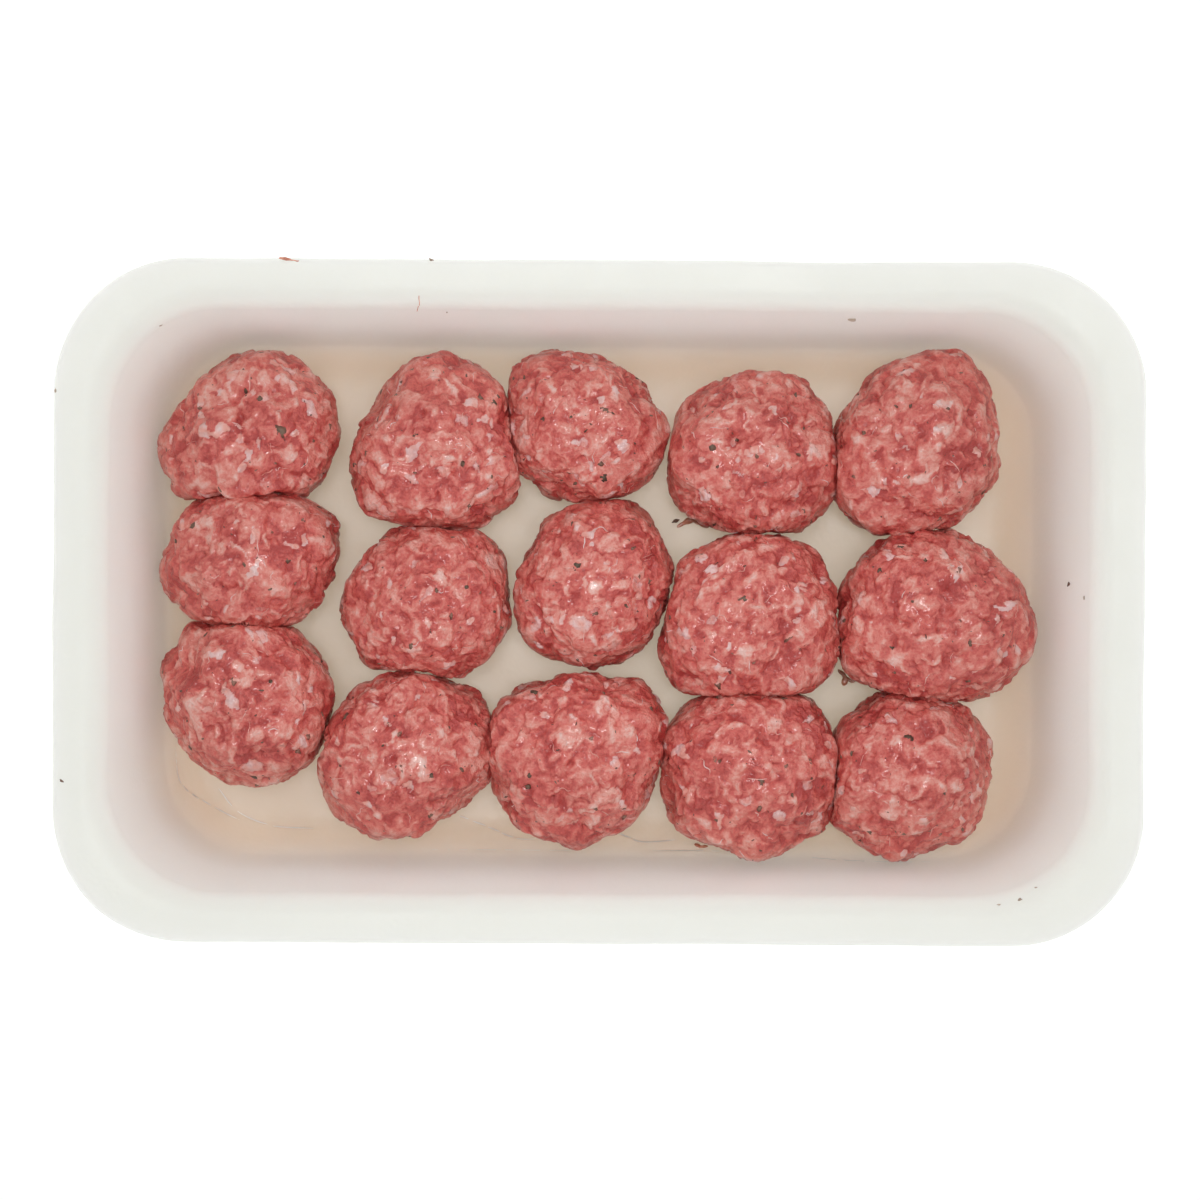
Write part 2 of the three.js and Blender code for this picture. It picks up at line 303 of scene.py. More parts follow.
pool_data = bpy.data.lights.new("pool", "SPOT")
pool_data.energy = POOL_POWER
pool_data.shadow_soft_size = POOL_LAMP_RADIUS
pool_data.spot_size = 2 * math.atan(POOL_LENGTH / 2 / POOL_HEIGHT)
pool_data.spot_blend = POOL_SOFT_EDGE
pool = bpy.data.objects.new("pool", pool_data)
pool.location = (0, 0, POOL_HEIGHT)
pool.scale = (1, POOL_WIDTH / POOL_LENGTH, 1)
bpy.context.collection.objects.link(pool)

# %% [markdown]
# ## The tray's shape
# A foam tray is pressed from one sheet of almost even thickness. It could be modelled from a box with
# bevels. Here it is a section, a line that runs over the floor, up the wall, out over the flange and back
# under the base, carried round a rounded rectangle that grows from the floor to the edge of the flange.

# %% Sizes of the tray
MOUTH_LENGTH = 209 * MM
MOUTH_WIDTH = 124.4 * MM
MOUTH_RADIUS = 24 * MM
FOOT_LENGTH = 190.4 * MM
FOOT_WIDTH = 111.6 * MM
FOOT_RADIUS = 21 * MM
EDGE_RADIUS = 28 * MM
FLOOR_THICKNESS = 4 * MM
WALL_THICKNESS = 3.6 * MM
FLANGE_THICKNESS = 3.4 * MM
FLOOR_CAP = 16 * MM
ARC_STEPS = 10
LONGEST_STEP = 3 * MM
EDGE_MARGIN = 2 * MM

wall_run = ((MOUTH_LENGTH - FOOT_LENGTH) + (MOUTH_WIDTH - FOOT_WIDTH)) / 4
flange_run = ((TRAY_LENGTH - MOUTH_LENGTH) + (TRAY_WIDTH - MOUTH_WIDTH)) / 4


# %% The section
def rounded_line(corners, radii, steps):
    """A line through the corners with each one rounded: an arc of the corner's radius that touches both
    sides. Its centre lies on the line that halves the corner, radius / sin(half the angle) away."""
    line = [corners[0]]
    for before, here, after, radius in zip(corners, corners[1:], corners[2:], radii):
        back = (before - here) / np.linalg.norm(before - here)
        on = (after - here) / np.linalg.norm(after - here)
        half = math.acos(back @ on) / 2
        middle = (back + on) / np.linalg.norm(back + on)
        centre = here + middle * radius / math.sin(half)
        start = here + back * radius / math.tan(half) - centre
        end = here + on * radius / math.tan(half) - centre
        sweep = math.atan2(start[0] * end[1] - start[1] * end[0], start @ end)
        turn = np.linspace(0, sweep, steps + 1)
        line.extend(np.stack([
            centre[0] + start[0] * np.cos(turn) - start[1] * np.sin(turn),
            centre[1] + start[0] * np.sin(turn) + start[1] * np.cos(turn)], axis=1))
    line.append(corners[-1])
    return np.array(line)


def even_steps(line, longest):
    """The same line with its long straight stretches divided so that no step is longer than `longest`."""
    pieces = [line[:1]]
    for start, end in zip(line, line[1:]):
        count = max(1, math.ceil(np.linalg.norm(end - start) / longest))
        pieces.append(np.linspace(start, end, count + 1)[1:])
    return np.concatenate(pieces)


lean = wall_run / (TRAY_HEIGHT - FLOOR_THICKNESS)
wall_shift = WALL_THICKNESS * math.hypot(1, lean)
edge_out = wall_run + flange_run
under_flange = TRAY_HEIGHT - FLANGE_THICKNESS


def outer_wall(height):
    """How far out the wall's outside is at a height: the lean times the height above the floor, plus the
    thickness measured level."""
    return (height - FLOOR_THICKNESS) * lean + wall_shift


section_corners = np.array([
    (-FLOOR_CAP, FLOOR_THICKNESS),
    (0.0, FLOOR_THICKNESS),
    (wall_run, TRAY_HEIGHT),
    (edge_out, TRAY_HEIGHT),
    (edge_out, under_flange),
    (outer_wall(under_flange), under_flange),
    (outer_wall(0.0), 0.0),
    (-FLOOR_CAP, 0.0),
])
section_radii = np.array([10.0, 5.5, 1.5, 1.5, 3.0, 9.0]) * MM
section = even_steps(rounded_line(section_corners, section_radii, ARC_STEPS), LONGEST_STEP)
upper_rings = int(np.argmax(section[:, 0] > edge_out - EDGE_MARGIN))
print("points along the section:", len(section), "and on the upper side:", upper_rings)

# %% The plan, and the tray's grid
CORNER_STEPS = 22
SIDE_STEPS = 44
END_STEPS = 26


def plan_sizes(out):
    """Half length, half width and corner radius of the plan at distances out from the foot of the wall,
    blended in straight lines between the stations: floor, foot, shoulder and edge."""
    stations = [-FLOOR_CAP, 0.0, wall_run, edge_out]
    half_length = np.array([FOOT_LENGTH / 2 - FLOOR_CAP, FOOT_LENGTH / 2, MOUTH_LENGTH / 2, TRAY_LENGTH / 2])
    half_width = np.array([FOOT_WIDTH / 2 - FLOOR_CAP, FOOT_WIDTH / 2, MOUTH_WIDTH / 2, TRAY_WIDTH / 2])
    radius = np.array([FOOT_RADIUS - FLOOR_CAP, FOOT_RADIUS, MOUTH_RADIUS, EDGE_RADIUS])
    return tuple(np.interp(out, stations, values) for values in (half_length, half_width, radius))


def rounded_rectangles(half_length, half_width, radius):
    """For each ring, points round a rounded rectangle, counter-clockwise: a quarter circle at each corner,
    and even steps along each side."""
    loops = []
    quarter = np.linspace(0, math.pi / 2, CORNER_STEPS + 1)
    signs = [(1, 1), (-1, 1), (-1, -1), (1, -1)]
    corners = []
    for number, (sign_x, sign_y) in enumerate(signs):
        angle = quarter + number * math.pi / 2
        x = sign_x * (half_length - radius)[:, None] + radius[:, None] * np.cos(angle)
        y = sign_y * (half_width - radius)[:, None] + radius[:, None] * np.sin(angle)
        corners.append(np.stack([x, y], axis=2))
    for number, steps in enumerate([SIDE_STEPS, END_STEPS, SIDE_STEPS, END_STEPS]):
        start = corners[number][:, -1:]
        end = corners[(number + 1) % 4][:, :1]
        share = np.linspace(0, 1, steps + 1)[1:-1][None, :, None]
        loops += [corners[number], start + (end - start) * share]
    return np.concatenate(loops, axis=1)


def tray_grid():
    """The tray's points, ring by ring: the plan at each step of the section, at its height."""
    flat = rounded_rectangles(*plan_sizes(section[:, 0]))
    height = np.broadcast_to(section[:, 1, None, None], (*flat.shape[:2], 1))
    return np.concatenate([flat, height], axis=2)


def ring_faces(rings, around):
    """Four-cornered faces between neighbouring rings of a grid, as numbers of its points."""
    ring, side = np.meshgrid(np.arange(rings - 1), np.arange(around), indexing="ij")
    after = (side + 1) % around
    corners = [ring * around + side, (ring + 1) * around + side, (ring + 1) * around + after,
               ring * around + after]
    return np.stack(corners, axis=2).reshape(-1, 4)


grid = tray_grid()
rings, around = grid.shape[:2]

# Pressed foam is never quite true: the walls and the flange wander by a tenth of a millimetre or two.
WANDER = 0.16 * MM
WANDER_LENGTHS = (70 * MM, 32 * MM)
WANDER_START = 6 * MM
wander_weight = np.clip(section[:, 0] / WANDER_START, 0, 1)[:, None]
flat_points = grid.reshape(-1, 3)
wander = ripple(flat_points, WANDER_LENGTHS[0], 11) + 0.5 * ripple(flat_points, WANDER_LENGTHS[1], 12)
wander = wander.reshape(rings, around)
outward = unit(flat_points[:, :2]).reshape(rings, around, 2)
grid[:, :, :2] -= outward * (np.abs(wander) * WANDER * wander_weight)[:, :, None]

tray_faces = ring_faces(rings, around).tolist()
tray_faces.append(list(range(around)))
tray_faces.append(list(range((rings - 1) * around, rings * around))[::-1])

# %% [markdown]
# ## The foam's finish
# Light goes into white foam and comes out again some millimetres away, which softens every shadow. A plain
# white would look like hard plastic, so the shader scatters light below the surface. A fine noise gives the
# foam's beads a very small bump, and a cloudy one varies the shine. The colour follows the depth below the
# rim and holds painted light: the walls are painted lighter than the flange, as they get less light, and low
# in the tray the foam is painted warmer and darker, partly as a tint of meat juice and partly as painted
# shade and a painted pink reflection of the meat.

# %% Foam material
# The foam's colour at shares of the way down from the rim to the floor, inside the tray: painted lighter on
# the walls than on the flange, and warmer and darker near the floor, partly a juice tint and partly painted
# shade and painted pink reflection.
FOAM_AND_PAINTED_LIGHT_BY_DEPTH = [(0.0, (225, 227, 218)), (0.12, (239, 238, 231)), (0.5, (246, 237, 229)),
                 (0.85, (240, 221, 209)), (1.0, (226, 206, 191))]

foam = Finish("white_foam")
foam_place = foam.place()
bead = foam.noise(foam_place, 0.9 * MM, 0.0)
cloud = foam.noise(foam_place, 14 * MM, 1.0)
_, foam_parts = foam.attribute("depth")
# The colour by depth paints light and shade: walls lighter than the flange, painted shade and a painted pink
# reflection near the floor.
foam.surface(Base_Color=foam.ramp(foam_parts[0], FOAM_AND_PAINTED_LIGHT_BY_DEPTH), Normal=foam.bump(bead, 0.03 * MM),
             Roughness=foam.span(cloud, 0.3, 0.7, 0.42, 0.55), Subsurface_Weight=1.0,
             Subsurface_Radius=(1.0, 0.95, 0.88), Subsurface_Scale=0.018)

tray = make_piece("foam_tray", grid.reshape(-1, 3), tray_faces, foam.material)
tray_depth = np.clip((TRAY_HEIGHT - grid[:, :, 2]) / (TRAY_HEIGHT - FLOOR_THICKNESS), 0, 1)
tray_depth[upper_rings:] = 0
give_attribute(tray, "depth", np.repeat(tray_depth.reshape(-1, 1), 3, axis=1))
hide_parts("tray")

# %% [markdown]
# ## A meatball's skin
# Each meatball is a lump rolled by hand and pressed a little against its neighbours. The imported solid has
# that form in 720 flat facets. Subdividing it would keep traces of them, so a new skin is worked out: one
# radius for every direction from the middle, which passes smoothly through the solid's corners. The
# directions come from the faces of a cube, blown up to a ball, because such a grid has no poles.

# %% Directions over a ball
BALL_STEPS = 74


def cube_ball(steps):
    """Directions over a ball and the faces between them: a lattice on the faces of a cube, with tangents of
    even angles as coordinates, scaled to length 1. Shared edges are merged by their whole numbers."""
    a, b = np.meshgrid(np.arange(steps + 1), np.arange(steps + 1), indexing="ij")
    lattice, quads = [], []
    square = np.arange(a.size).reshape(a.shape)
    cell = np.stack([square[:-1, :-1], square[1:, :-1], square[1:, 1:], square[:-1, 1:]], axis=2)
    cell = cell.reshape(-1, 4)
    for axis in range(3):
        for side in (0, steps):
            points = np.empty((a.size, 3), dtype=int)
            points[:, axis] = side
            points[:, (axis + 1) % 3] = a.ravel()
            points[:, (axis + 2) % 3] = b.ravel()
            quads.append((cell if side else cell[:, ::-1]) + len(lattice) * a.size)
            lattice.append(points)
    corners, number = np.unique(np.concatenate(lattice), axis=0, return_inverse=True)
    cube = np.tan((corners / steps - 0.5) * math.pi / 2)
    return unit(cube), number.ravel()[np.concatenate(quads)]


ball_directions, ball_faces = cube_ball(BALL_STEPS)
ball_face_list = ball_faces.tolist()
print("points on each meatball:", len(ball_directions))


# %% A smooth skin through the solid's corners
def corners_of(node):
    """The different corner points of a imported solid."""
    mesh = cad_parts[node].data
    points = np.empty(len(mesh.vertices) * 3, dtype=np.float32)
    mesh.vertices.foreach_get("co", points)
    return np.unique(points.reshape(-1, 3).astype(float).round(7), axis=0)


def spread(first, second):
    """Cubes of the straight distances between two sets of directions."""
    return np.clip(2 - 2 * first @ second.T, 0, None) ** 1.5


class Skin:
    """A meatball's smooth radius at any direction from its middle: a weighted sum of the cubed distances to
    the solid's corners plus a flat term. One set of equations makes it pass through every corner."""

    def __init__(self, node):
        points = corners_of(node)
        self.middle = points.mean(axis=0)
        arms = points - self.middle
        radii = np.linalg.norm(arms, axis=1)
        self.knots = arms / radii[:, None]
        self.size = radii.mean()
        count = len(radii)
        flat = np.column_stack([np.ones(count), self.knots])
        system = np.block([[spread(self.knots, self.knots), flat], [flat.T, np.zeros((4, 4))]])
        self.weights = np.linalg.solve(system, np.concatenate([radii, np.zeros(4)]))

    def radius(self, directions):
        flat = np.column_stack([np.ones(len(directions)), directions])
        return spread(directions, self.knots) @ self.weights[:-4] + flat @ self.weights[-4:]


# %% [markdown]
# ## The pressed strands of the mince
# Minced meat is short soft strands, and rolling presses them into each other, so the skin is a heap of low
# domes with soft creases between them. A noise texture gives clouds, not strands. Here each ball gets over
# a thousand strands, each a low dome on an ellipse with its own heading, size and rank. The skin follows
# whichever dome is highest, rounded off where two of them meet. Larger and flatter patches under them are
# the folds of the rolled lump.

# %% Domes on a ball
GOLDEN_ANGLE = math.pi * (3 - math.sqrt(5))
BLOCKS = 240
BLOCK_REACH = 0.5
DOME_JITTER = 0.75


def even_directions(count, rng=None, jitter=0.0):
    """Directions spread evenly over a ball along a golden spiral, each shaken by a random step."""
    rise = 1 - (2 * np.arange(count) + 1) / count
    flat = np.sqrt(1 - rise ** 2)
    turn = np.arange(count) * GOLDEN_ANGLE
    spots = np.column_stack([flat * np.cos(turn), flat * np.sin(turn), rise])
    if rng is not None:
        spots += rng.normal(0, jitter, spots.shape)
    return unit(spots)


def headings(directions, rng):
    """For each direction, two axes level with the skin there, turned by a random angle."""
    helper = np.where(np.abs(directions[:, 2:]) < 0.9, [[0.0, 0.0, 1.0]], [[1.0, 0.0, 0.0]])
    first = unit(np.cross(directions, helper))
    second = np.cross(directions, first)
    turn = rng.uniform(0, 2 * math.pi, len(directions))[:, None]
    along = first * np.cos(turn) + second * np.sin(turn)
    return along, np.cross(directions, along)


def scattered(rng, middle, spread, count):
    """Sizes scattered round a middle one: the middle x exp(spread x a normal random number), so that small
    ones are common and a few are large."""
    return middle * np.exp(rng.normal(0, spread, count))


block_centres = even_directions(BLOCKS)


class Domes:
    """Many overlapping low domes with elliptic feet, laid over a ball of a given size."""

    def __init__(self, rng, size, count, half_length, half_width, rank):
        self.size = size
        self.centres = even_directions(count, rng, DOME_JITTER / math.sqrt(count))
        self.along, self.across = headings(self.centres, rng)
        self.half_length = scattered(rng, *half_length, count) / size
        self.half_width = scattered(rng, *half_width, count) / size
        self.rank = rng.normal(0, rank, count)

    def lay(self, directions, softness, values):
        """For each direction: the domes' height and values, the highest dome's number, and the place along
        and across it in metres. A dome's height is its rank less the squared distance from its centre, in
        half lengths and half widths. Heights and values are blended with weights exp(height / softness), so
        creases are rounded and colours run into each other."""
        height = np.empty(len(directions))
        mixed = np.empty((len(directions), values.shape[1]))
        highest = np.empty(len(directions), dtype=int)
        place = np.empty((len(directions), 2))
        block_of = (directions @ block_centres.T).argmax(axis=1)
        for number, centre in enumerate(block_centres):
            members = np.flatnonzero(block_of == number)
            near = np.flatnonzero(self.centres @ centre > math.cos(BLOCK_REACH))
            part = directions[members]
            u, v = part @ self.along[near].T, part @ self.across[near].T
            each = self.rank[near] - (u / self.half_length[near]) ** 2 - (v / self.half_width[near]) ** 2
            top = each.max(axis=1)
            weight = np.exp((each - top[:, None]) / softness)
            total = weight.sum(axis=1)
            height[members] = top + softness * np.log(total)
            mixed[members] = weight @ values[near] / total[:, None]
            best = each.argmax(axis=1)
            rows = np.arange(len(members))
            highest[members] = near[best]
            place[members] = np.column_stack([u[rows, best], v[rows, best]]) * self.size
        return height, mixed, highest, place


# %% Strands and folds of one meatball
# A pair of a size and a number gives the middle size and how widely the sizes scatter round it.
STRANDS = 1250
STRAND_HALF_LENGTH = (1.45 * MM, 0.38)
STRAND_HALF_WIDTH = (0.80 * MM, 0.32)
STRAND_RANK = 0.55
STRAND_HEIGHT = 0.27 * MM
STRAND_LIFT = 0.08 * MM
STRAND_SOFTNESS = 0.14
FOLDS = 130
FOLD_HALF_LENGTH = (4.8 * MM, 0.25)
FOLD_HALF_WIDTH = (2.7 * MM, 0.20)
FOLD_RANK = 0.35
FOLD_HEIGHT = 0.50 * MM
FOLD_LIFT = 0.22 * MM
FOLD_SOFTNESS = 0.05
FAT_SHARE = 0.055
FAT_HALF_LENGTH = (0.95 * MM, 0.42)
FAT_HALF_WIDTH = (0.66 * MM, 0.30)
FAT_RANK = 0.6
FAT_AMOUNT = (0.4, 1.2)
TONE_SPREAD = 0.3
TONE_FROM_STRAND = 0.85
CREASE_OF_STRAND = 0.5
CREASE_OF_FOLD = 0.6
PIT_SHARE = 0.025
PIT_DEPTH = (0.3 * MM, 0.7 * MM)
OUTWARD_SHARE = 0.62
MEAN_LEVEL = -0.12 * MM
LEVEL_SAMPLES = 1600
FIBRE_SHIFT = 7.3
STRAND_SHAKE = 1.0 * MM
FOLD_SHAKE = 2.4 * MM
# Length of each wave that shakes the domes or roughens the skin, and its share or its height.
SHAKES = [(4.5 * MM, 0.32), (1.6 * MM, 0.14)]
UNEVEN = [(3.6 * MM, 0.05 * MM), (1.5 * MM, 0.02 * MM)]
SEEDS_FOR_EACH = 20


class Mince:
    """The strands and folds of one meatball, and what they do to its skin."""

    def __init__(self, skin, seed):
        self.skin = skin
        self.seed = seed
        self.first_wave = seed * SEEDS_FOR_EACH
        rng = np.random.default_rng(seed)
        self.strands = Domes(rng, skin.size, STRANDS, STRAND_HALF_LENGTH, STRAND_HALF_WIDTH, STRAND_RANK)
        self.folds = Domes(rng, skin.size, FOLDS, FOLD_HALF_LENGTH, FOLD_HALF_WIDTH, FOLD_RANK)
        pits = rng.random(STRANDS) < PIT_SHARE
        grains = (rng.random(STRANDS) < FAT_SHARE) & ~pits
        self.strands.half_length[grains] = scattered(rng, *FAT_HALF_LENGTH, grains.sum()) / skin.size
        self.strands.half_width[grains] = scattered(rng, *FAT_HALF_WIDTH, grains.sum()) / skin.size
        self.strands.rank[grains] += FAT_RANK
        fat = grains * rng.uniform(*FAT_AMOUNT, STRANDS)
        lift = rng.normal(0, STRAND_LIFT, STRANDS) - pits * rng.uniform(*PIT_DEPTH, STRANDS)
        lift -= grains * FAT_RANK * STRAND_HEIGHT
        tone = np.clip(rng.normal(0.5, TONE_SPREAD, STRANDS), 0, 1)
        self.strand_values = np.column_stack([tone, fat, lift])
        self.fold_values = np.column_stack([rng.uniform(0, 1, FOLDS), rng.normal(0, FOLD_LIFT, FOLDS)])
        self.level = MEAN_LEVEL - self.relief(even_directions(LEVEL_SAMPLES))[0].mean()

    def warped(self, directions, shake):
        """Directions shifted by small random waves of two lengths, so that the domes' edges wander."""
        points = directions * self.skin.size
        shift = np.column_stack([
            ripple(points, SHAKES[0][0], self.first_wave + axis) * SHAKES[0][1]
            + ripple(points, SHAKES[1][0], self.first_wave + axis + 3) * SHAKES[1][1] for axis in range(3)])
        return unit(directions + shift * shake / self.skin.size)

    def relief(self, directions):
        """Heights over the smooth skin, and the tone, depth and fat there. The heights are the domes, their
        lifts and a fine unevenness; what stands out is pressed flatter than what lies in."""
        bent = self.warped(directions, STRAND_SHAKE)
        height, mixed, strand, place = self.strands.lay(bent, STRAND_SOFTNESS, self.strand_values)
        bent = self.warped(directions, FOLD_SHAKE)
        fold_height, fold_mixed, *_ = self.folds.lay(bent, FOLD_SOFTNESS, self.fold_values)
        points = directions * self.skin.size
        rough = (ripple(points, UNEVEN[0][0], self.first_wave + 6) * UNEVEN[0][1]
                 + ripple(points, UNEVEN[1][0], self.first_wave + 7) * UNEVEN[1][1])
        rise = STRAND_HEIGHT * height + mixed[:, 2] + FOLD_HEIGHT * fold_height + fold_mixed[:, 1] + rough
        rise = np.where(rise > 0, rise * OUTWARD_SHARE, rise)
        tone = TONE_FROM_STRAND * mixed[:, 0] + (1 - TONE_FROM_STRAND) * fold_mixed[:, 0]
        # How deep the creases lie; the material paints them darker and redder, as painted shade.
        depth = np.clip(0.5 - CREASE_OF_STRAND * height - CREASE_OF_FOLD * fold_height, 0, 2)
        return rise, np.column_stack([tone, depth, mixed[:, 1]]), strand, place

    def surface(self, directions):
        """Points of the finished meatball, and what its material reads. The skin's radius gets the relief,
        shifted by one level for the whole ball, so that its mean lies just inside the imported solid."""
        rise, grain, strand, place = self.relief(directions)
        radius = self.skin.radius(directions) + rise + self.level
        shift = FIBRE_SHIFT * (strand + STRANDS * self.seed)
        fibres = np.column_stack([place[:, 0] / MM + shift, place[:, 1] / MM, strand])
        return self.skin.middle + directions * radius[:, None], grain, fibres


# %% [markdown]
# ## The finish of raw mince
# Raw mince is pink to red lean meat with pale fat, moist enough to glint. A noise texture alone could
# colour it, but its clouds would ignore the strands. Here each strand's own tone chooses its colour, fibres
# run along it as streaks, and the creases are painted darker and redder, as painted shade. A thin wet coat
# on top gives the glints.

# %% Meat material
FIBRE_STRETCH = (0.6, 3.2, 0.0)

meat = Finish("raw_mince")
meat_place = meat.place()
_, grain_parts = meat.attribute("grain")
tone, depth, fat = grain_parts
strand_place, strand_parts = meat.attribute("strand")
inside_strand = strand_parts[2]

# A fibre is a noise stretched along its strand, and it fades out where two strands meet.
fibre_place = meat.node("ShaderNodeMapping", {"Vector": strand_place, "Scale": FIBRE_STRETCH})
fibre = meat.noise(fibre_place.outputs["Vector"], 1.0, 1.0, 0.6)
fibre = meat.math("ADD", meat.math("MULTIPLY", meat.math("SUBTRACT", fibre, 0.5), inside_strand), 0.5)
patch = meat.noise(meat_place, 6 * MM, 0.0)
blot = meat.noise(meat_place, 2.0 * MM, 0.0)
speckle = meat.noise(meat_place, 0.7 * MM, 1.0, 0.65)


def weighted(*parts):
    """The middle value 0.5 plus each pattern's distance from its own middle, times its weight."""
    total = None
    for value, middle, weight in parts:
        part = meat.math("MULTIPLY", meat.math("SUBTRACT", value, middle), weight)
        total = meat.math("ADD", total if total else 0.5, part)
    return total


# The crease depth weighs against the tone, so the creases are painted darker and redder: painted shade.
mixed_tone = weighted((tone, 0.5, 0.58), (patch, 0.5, 0.2), (blot, 0.5, 0.32), (fibre, 0.5, 0.4),
                      (speckle, 0.5, 0.45), (depth, 0.45, -0.24))
lean_colour = meat.ramp(mixed_tone, [
    (0.06, (190, 70, 66)),
    (0.30, (220, 104, 95)),
    (0.50, (234, 138, 126)),
    (0.66, (243, 168, 155)),
    (0.88, (249, 204, 195)),
])
fat_colour = meat.ramp(blot, [(0.35, (246, 178, 164)), (0.65, (248, 214, 212))])
fat_mask = meat.span(meat.math("ADD", fat, meat.math("MULTIPLY", speckle, 0.5)), 0.50, 1.05, 0.0, 0.85)
meat_colour = meat.blend(fat_mask, lean_colour, fat_colour)

meat_height = meat.math("ADD", meat.math("MULTIPLY", fibre, 0.5), speckle)
meat_bump = meat.bump(meat_height, 0.4 * MM)
meat_roughness = meat.span(patch, 0.3, 0.7, 0.42, 0.58)
meat.surface(Base_Color=meat_colour, Roughness=meat_roughness, Normal=meat_bump, Coat_Weight=0.5,
             Coat_Roughness=0.15)

# %% The meatballs
ball_nodes = sorted(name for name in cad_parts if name.startswith("meatball"))
minces = []
for number, node in enumerate(ball_nodes):
    mince = Mince(Skin(node), seed=number + 1)
    points, grain, fibres = mince.surface(ball_directions)
    strand_of_corner = fibres[ball_faces, 2]
    between = (strand_of_corner != strand_of_corner[:, :1]).any(axis=1)
    fibres[:, 2] = 1.0
    fibres[ball_faces[between].ravel(), 2] = 0.0
    piece = make_piece(f"mince_{number + 1:02d}", points, ball_face_list, meat.material)
    give_attribute(piece, "grain", grain)
    give_attribute(piece, "strand", fibres)
    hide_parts(node)
    minces.append(mince)

# %% [markdown]
# ## Herb flecks
# Dark flakes of herb, one to two millimetres long, lie in the skin, with finer pepper dust between them.
# Each is a thin lens with a ragged rim: a ring of eight points laid on the meat itself, with one point
# above its middle and one below. Particles could scatter them, but one joined piece keeps each fleck's own
# outline and exact place.

# %% Flecks on every ball
FLECK_RIM = 8
FLECK_SINK = 0.02 * MM
FLECK_JITTER = 0.2
FLECK_RAGGED = (0.6, 1.1)
FLECK_NARROW = (0.35, 0.85)
HERBS = 46
HERB_HALF_LENGTH = (0.80 * MM, 0.38)
HERB_THICKNESS = 0.16 * MM
PEPPERS = 100
PEPPER_HALF_LENGTH = (0.27 * MM, 0.35)
PEPPER_THICKNESS = 0.10 * MM


def lens_faces(count, rim):
    """Triangles of many lenses: a fan from the upper middle and one from the lower, round the same rim."""
    here = np.arange(rim)
    after = (here + 1) % rim
    upper = np.column_stack([here, after, np.full(rim, rim)])
    lower = np.column_stack([after, here, np.full(rim, rim + 1)])
    return (np.concatenate([upper, lower]) + (np.arange(count) * (rim + 2))[:, None, None]).reshape(-1, 3)


def flecks_on(mince, count, half_length, thickness, seed):
    """Lenses on one ball. The rim's points lie at random distances round a stretched circle, laid on the
    meat's own surface and sunk a little; the middle is the rim's mean, moved out and in by the thickness."""
    rng = np.random.default_rng(seed)
    spots = even_directions(count, rng, FLECK_JITTER)
    along, across = headings(spots, rng)
    turn = np.arange(FLECK_RIM) / FLECK_RIM * 2 * math.pi
    reach = scattered(rng, *half_length, (count, 1)) * rng.uniform(*FLECK_RAGGED, (count, FLECK_RIM))
    narrow = rng.uniform(*FLECK_NARROW, (count, 1))
    level = (reach * np.cos(turn))[:, :, None] * along[:, None] \
        + (reach * narrow * np.sin(turn))[:, :, None] * across[:, None]
    toward = unit(spots[:, None] + level / mince.skin.size)
    rim = mince.surface(toward.reshape(-1, 3))[0].reshape(count, FLECK_RIM, 3) - toward * FLECK_SINK
    middle = rim.mean(axis=1, keepdims=True)
    above = middle + spots[:, None] * (FLECK_SINK + thickness)
    below = middle - spots[:, None] * thickness
    return np.concatenate([rim, above, below], axis=1)


herb = drifting("herb", 5 * MM, 1.0, [(0.35, (94, 80, 64)), (0.5, (128, 102, 84)), (0.65, (164, 118, 102))],
                Roughness=0.55, Coat_Weight=0.3, Coat_Roughness=0.2)
pepper = Finish("pepper").surface(Base_Color=linear(112, 78, 66), Roughness=0.6)
for name, material, count, half_length, thickness, seed in [
        ("herb_flecks", herb, HERBS, HERB_HALF_LENGTH, HERB_THICKNESS, 300),
        ("pepper_dust", pepper, PEPPERS, PEPPER_HALF_LENGTH, PEPPER_THICKNESS, 700)]:
    lenses = np.concatenate([flecks_on(mince, count, half_length, thickness, seed + mince.seed)
                             for mince in minces])
    faces = lens_faces(len(lenses), FLECK_RIM).tolist()
    make_piece(name, lenses.reshape(-1, 3), faces, material)

# %% [markdown]
# ## Fat and sinew threads
# Pale threads of fat and sinew lie across the strands, and some ends stick out. Each is a thin tube along a
# curved path over the meat, drawn out to a point at both ends. Curves with a bevel could do this, but the
# same arrays also serve below for shreds of meat and for folds in the tray's film.

# %% Tubes along many paths
def tubes(paths, lifts, radii, flat, sides):
    """Points of many tubes, from a row of path points, radii and upward directions for each. A ring is its
    path's point plus radius x cos(turn) to the side, plus radius x flat x sin(turn) upward."""
    ahead = np.gradient(paths, axis=1)
    side = unit(np.cross(ahead, lifts))
    turn = np.arange(sides) / sides * 2 * math.pi
    flatness = np.broadcast_to(flat, radii.shape)[:, :, None, None]
    return (paths[:, :, None]
            + radii[:, :, None, None] * (side[:, :, None] * np.cos(turn)[:, None]
                                         + flatness * lifts[:, :, None] * np.sin(turn)[:, None]))


def taper(share, blunt, power):
    """How thick a tube is: (blunt - share) to a power, where the share grows to 1 at both ends."""
    return (blunt - share) ** power


def tube_faces(count, steps, sides):
    """Faces of many tubes: four-cornered ones between rings, and one over each end."""
    walls = ring_faces(steps, sides)
    first = np.arange(sides)[None, ::-1]
    last = first[:, ::-1] + (steps - 1) * sides
    starts = (np.arange(count) * steps * sides)[:, None, None]
    faces = (walls + starts).reshape(-1, 4).tolist()
    return faces + (np.concatenate([first, last]) + starts).reshape(-1, sides).tolist()


